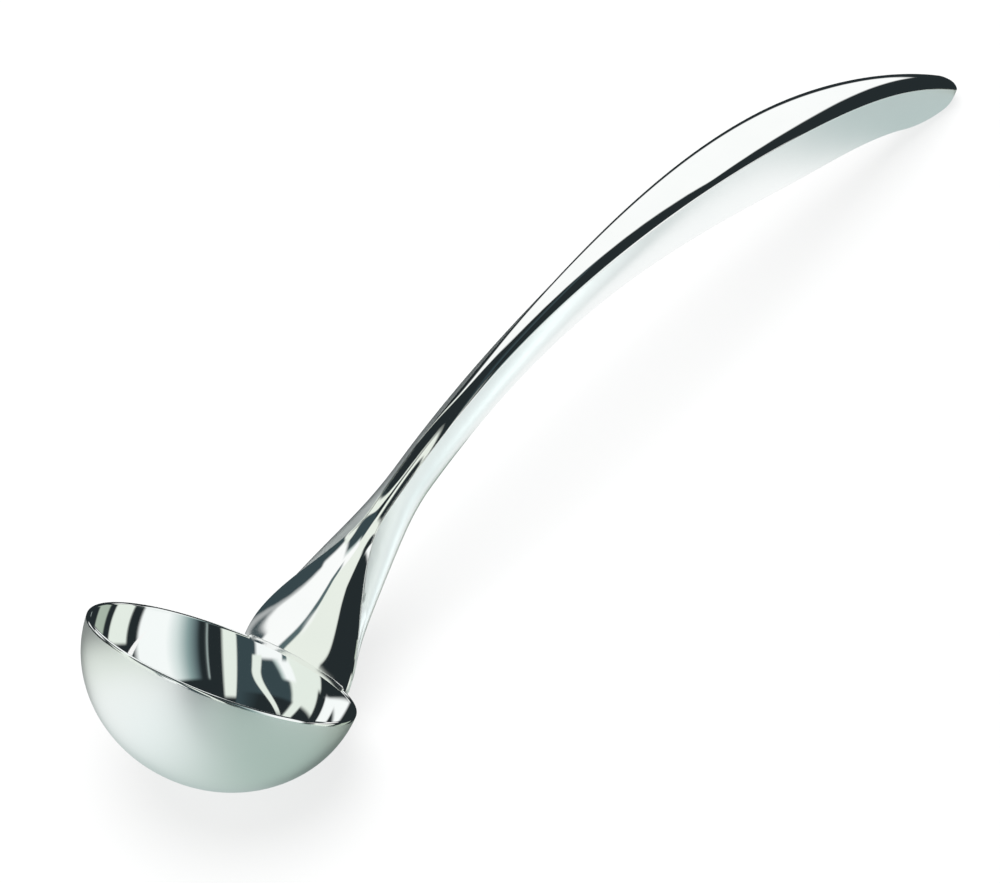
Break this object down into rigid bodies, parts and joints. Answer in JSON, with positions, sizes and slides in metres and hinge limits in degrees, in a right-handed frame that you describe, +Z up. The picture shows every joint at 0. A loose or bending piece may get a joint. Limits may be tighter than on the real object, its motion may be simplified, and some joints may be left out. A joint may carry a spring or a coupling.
{
  "type": "serving ladle",
  "caption": "Stainless steel serving ladle with a deep round bowl and a hollow handle that flares out of the rim, narrows to a neck and swells to a smooth grip.",
  "frame": {"origin": "bottom centre of the box around the ladle as it lies on a table, resting on the bowl's underside and the back of the handle's tip", "axes": "+X from the bowl to the handle's tip, +Z up from the table, +Y across the handle"},
  "size_m": [0.367, 0.08, 0.0653],
  "materials": {
    "bowl_steel": "mirror polished inside, satin outside",
    "mirror_steel": "mirror polished",
    "satin_steel": "fine satin brushed along the handle",
    "weld_steel": "weld ground and polished over"
  },
  "bodies": {
    "root": {"bowl": "bowl_steel", "handle_front_shell": "mirror_steel", "handle_back_shell": "satin_steel", "handle_seam_weld": "weld_steel", "bowl_front_weld": "weld_steel", "bowl_back_weld": "weld_steel"}
  },
  "joints": []
}
